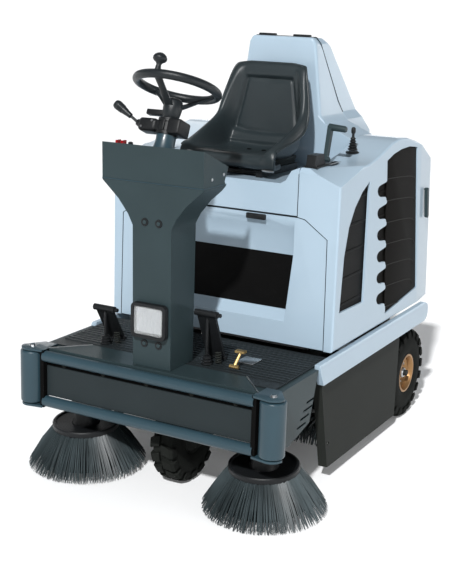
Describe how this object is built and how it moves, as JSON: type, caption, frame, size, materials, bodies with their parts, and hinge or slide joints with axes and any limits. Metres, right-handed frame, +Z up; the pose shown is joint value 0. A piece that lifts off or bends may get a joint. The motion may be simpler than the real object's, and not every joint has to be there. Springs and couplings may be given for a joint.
{
  "type": "ride-on sweeper",
  "caption": "Compact ride-on floor sweeper with bumper frame, tilted side brooms, T-shaped dash column, seat hood and grilled side pods.",
  "frame": {"origin": "on the floor, in the middle of the bounding box", "axes": "+X to the operator's left, -Y forwards (the bumper end), +Z up"},
  "size_m": [1.128, 1.494, 1.5],
  "materials": {
    "body_blue": "satin, light blue",
    "slate_paint": "satin, dark slate",
    "tube_paint": "satin, blue grey",
    "dark_paint": "satin, near black",
    "black_plastic": "fine grain",
    "mat_rubber": "ribbed",
    "tyre": "moulded tread",
    "bronze": "dull",
    "vinyl": "grained vinyl",
    "steel": "plain",
    "bristle": "stiff strands",
    "red_plastic": "glossy",
    "lens": "clear, fluted"
  },
  "bodies": {
    "chassis": {"sill_left": "body_blue", "sill_right": "body_blue", "front_panel": "body_blue", "side_pod_left": "body_blue", "side_pod_right": "body_blue", "rear_panel": "body_blue", "deck_plate": "slate_paint", "bumper_panel": "slate_paint", "side_plate_left": "slate_paint", "side_plate_right": "slate_paint", "column_cover": "slate_paint", "bumper_frame": "tube_paint", "column_tube": "tube_paint", "chassis_frame": "dark_paint", "skirt_left": "dark_paint", "skirt_right": "dark_paint", "dash_panel": "black_plastic", "headlight_bezel": "black_plastic", "switch_housing": "black_plastic", "lever_bracket": "black_plastic", "front_grille": "black_plastic", "side_grille_left": "black_plastic", "side_grille_right": "black_plastic", "rear_grille_left": "black_plastic", "rear_grille_right": "black_plastic", "dust_filter": "black_plastic", "deck_mat": "mat_rubber", "power_unit": "steel", "headlight_lens": "lens"},
    "front_fork": {"front_fork": "dark_paint"},
    "front_wheel": {"front_wheel": "tyre"},
    "steering_wheel": {"steering_wheel": "black_plastic"},
    "spinner_knob": {"spinner_knob": "black_plastic"},
    "signal_stalk": {"signal_stalk": "black_plastic"},
    "drive_pedal": {"drive_pedal": "black_plastic"},
    "brake_pedal": {"brake_pedal": "black_plastic"},
    "flap_pedal": {"flap_pedal": "bronze"},
    "hopper_lever": {"hopper_lever": "slate_paint"},
    "broom_lever": {"broom_lever": "black_plastic"},
    "choke_knob": {"choke_knob": "red_plastic"},
    "flap_knob": {"flap_knob": "red_plastic"},
    "key_switch": {"key_switch": "black_plastic"},
    "hood": {"hood": "body_blue", "seat_rails": "steel"},
    "rear_lid": {"rear_lid": "body_blue"},
    "seat": {"seat": "vinyl"},
    "rear_wheel_left": {"rear_tyre_left": "tyre", "rear_rim_left": "bronze"},
    "rear_wheel_right": {"rear_tyre_right": "tyre", "rear_rim_right": "bronze"},
    "broom_arm_left": {"broom_arm_left": "dark_paint"},
    "broom_arm_right": {"broom_arm_right": "dark_paint"},
    "side_broom_left": {"side_broom_left": "bristle"},
    "side_broom_right": {"side_broom_right": "bristle"},
    "main_broom_arm": {"main_broom_arm": "dark_paint"},
    "main_broom": {"main_broom": "bristle"},
    "corner_roller_left": {"corner_roller_left": "tube_paint"},
    "corner_roller_right": {"corner_roller_right": "tube_paint"},
    "rear_latch": {"rear_latch": "slate_paint"},
    "hopper": {"hopper": "dark_paint"}
  },
  "joints": [
    {"name": "fork_steer", "type": "hinge", "parent": "chassis", "child": "front_fork", "pos_m": [0, -0.457, 0.41], "axis": [0, 0, 1], "range_deg": [-50, 50]},
    {"name": "front_wheel_spin", "type": "hinge", "parent": "front_fork", "child": "front_wheel", "pos_m": [0, -0.457, 0.16], "axis": [1, 0, 0], "continuous": true},
    {"name": "steering_wheel_turn", "type": "hinge", "parent": "chassis", "child": "steering_wheel", "pos_m": [0, -0.549, 1.354], "axis": [0, 0.3698, 0.9291], "range_deg": [-200, 200]},
    {"name": "spinner_knob_spin", "type": "hinge", "parent": "steering_wheel", "child": "spinner_knob", "pos_m": [0, -0.655, 1.43923], "axis": [0, 0.3698, 0.9291], "continuous": true},
    {"name": "signal_stalk_tilt", "type": "hinge", "parent": "chassis", "child": "signal_stalk", "pos_m": [-0.112, -0.59949, 1.23794], "axis": [0, 0.3698, 0.9291], "range_deg": [-8, 8], "stiffness_Nm_per_rad": 2},
    {"name": "drive_pedal_press", "type": "hinge", "parent": "chassis", "child": "drive_pedal", "pos_m": [-0.272, -0.48, 0.472], "axis": [1, 0, 0], "range_deg": [0, 15], "stiffness_Nm_per_rad": 40, "springref_deg": -8.59},
    {"name": "brake_pedal_press", "type": "hinge", "parent": "chassis", "child": "brake_pedal", "pos_m": [0.13, -0.48, 0.472], "axis": [1, 0, 0], "range_deg": [0, 15], "stiffness_Nm_per_rad": 40, "springref_deg": -8.59},
    {"name": "flap_pedal_press", "type": "hinge", "parent": "chassis", "child": "flap_pedal", "pos_m": [0.234, -0.545, 0.472], "axis": [1, 0, 0], "range_deg": [0, 25], "stiffness_Nm_per_rad": 5, "springref_deg": -11.46},
    {"name": "hopper_lever_pull", "type": "hinge", "parent": "chassis", "child": "hopper_lever", "pos_m": [0.322, -0.104, 1.109], "axis": [-1, 0, 0], "range_deg": [0, 30]},
    {"name": "broom_lever_tilt", "type": "hinge", "parent": "chassis", "child": "broom_lever", "pos_m": [0.338, 0.086, 1.124], "axis": [1, 0, 0], "range_deg": [-12, 12], "stiffness_Nm_per_rad": 3},
    {"name": "choke_knob_pull", "type": "slide", "parent": "chassis", "child": "choke_knob", "axis": [0, 0, 1], "range_m": [0, 0.015]},
    {"name": "flap_knob_pull", "type": "slide", "parent": "chassis", "child": "flap_knob", "axis": [0, 0, 1], "range_m": [0, 0.015]},
    {"name": "key_switch_turn", "type": "hinge", "parent": "chassis", "child": "key_switch", "pos_m": [-0.11, -0.645, 1.15], "axis": [0, 0, 1], "range_deg": [0, 60]},
    {"name": "hood_open", "type": "hinge", "parent": "chassis", "child": "hood", "pos_m": [0, 0.596, 1.126], "axis": [-1, 0, 0], "range_deg": [0, 50]},
    {"name": "rear_lid_open", "type": "hinge", "parent": "hood", "child": "rear_lid", "pos_m": [0, 0.59, 1.122], "axis": [-1, 0, 0], "range_deg": [0, 60]},
    {"name": "seat_adjust", "type": "slide", "parent": "hood", "child": "seat", "axis": [0, 1, 0], "range_m": [-0.03, 0.03]},
    {"name": "rear_wheel_left_spin", "type": "hinge", "parent": "chassis", "child": "rear_wheel_left", "pos_m": [0.391, 0.567, 0.18], "axis": [1, 0, 0], "continuous": true},
    {"name": "broom_arm_left_lift", "type": "hinge", "parent": "chassis", "child": "broom_arm_left", "pos_m": [0.357, -0.315, 0.27], "axis": [-1, 0, 0], "range_deg": [0, 10]},
    {"name": "side_broom_left_spin", "type": "hinge", "parent": "broom_arm_left", "child": "side_broom_left", "pos_m": [0.356, -0.533, 0.0165], "axis": [0, -0.0698, 0.9976], "continuous": true},
    {"name": "corner_roller_left_spin", "type": "hinge", "parent": "chassis", "child": "corner_roller_left", "pos_m": [0.461, -0.705, 0.36], "axis": [0, 0, 1], "continuous": true},
    {"name": "rear_wheel_right_spin", "type": "hinge", "parent": "chassis", "child": "rear_wheel_right", "pos_m": [-0.391, 0.567, 0.18], "axis": [1, 0, 0], "continuous": true},
    {"name": "broom_arm_right_lift", "type": "hinge", "parent": "chassis", "child": "broom_arm_right", "pos_m": [-0.357, -0.315, 0.27], "axis": [-1, 0, 0], "range_deg": [0, 10]},
    {"name": "side_broom_right_spin", "type": "hinge", "parent": "broom_arm_right", "child": "side_broom_right", "pos_m": [-0.356, -0.533, 0.0165], "axis": [0, -0.0698, 0.9976], "continuous": true},
    {"name": "corner_roller_right_spin", "type": "hinge", "parent": "chassis", "child": "corner_roller_right", "pos_m": [-0.461, -0.705, 0.36], "axis": [0, 0, 1], "continuous": true},
    {"name": "main_broom_arm_lift", "type": "hinge", "parent": "chassis", "child": "main_broom_arm", "pos_m": [0, 0.28, 0.26], "axis": [-1, 0, 0], "range_deg": [0, 7]},
    {"name": "main_broom_spin", "type": "hinge", "parent": "main_broom_arm", "child": "main_broom", "pos_m": [0, 0.07, 0.146], "axis": [1, 0, 0], "continuous": true},
    {"name": "rear_latch_open", "type": "hinge", "parent": "chassis", "child": "rear_latch", "pos_m": [0.4445, 0.584, 0.932], "axis": [0, -1, 0], "range_deg": [0, 35]},
    {"name": "hopper_pull", "type": "slide", "parent": "chassis", "child": "hopper", "axis": [0, 1, 0], "range_m": [0, 0.25]}
  ],
  "couplings": [
    {"joint": "steering_wheel_turn", "follows": "fork_steer", "ratio": 4}
  ]
}
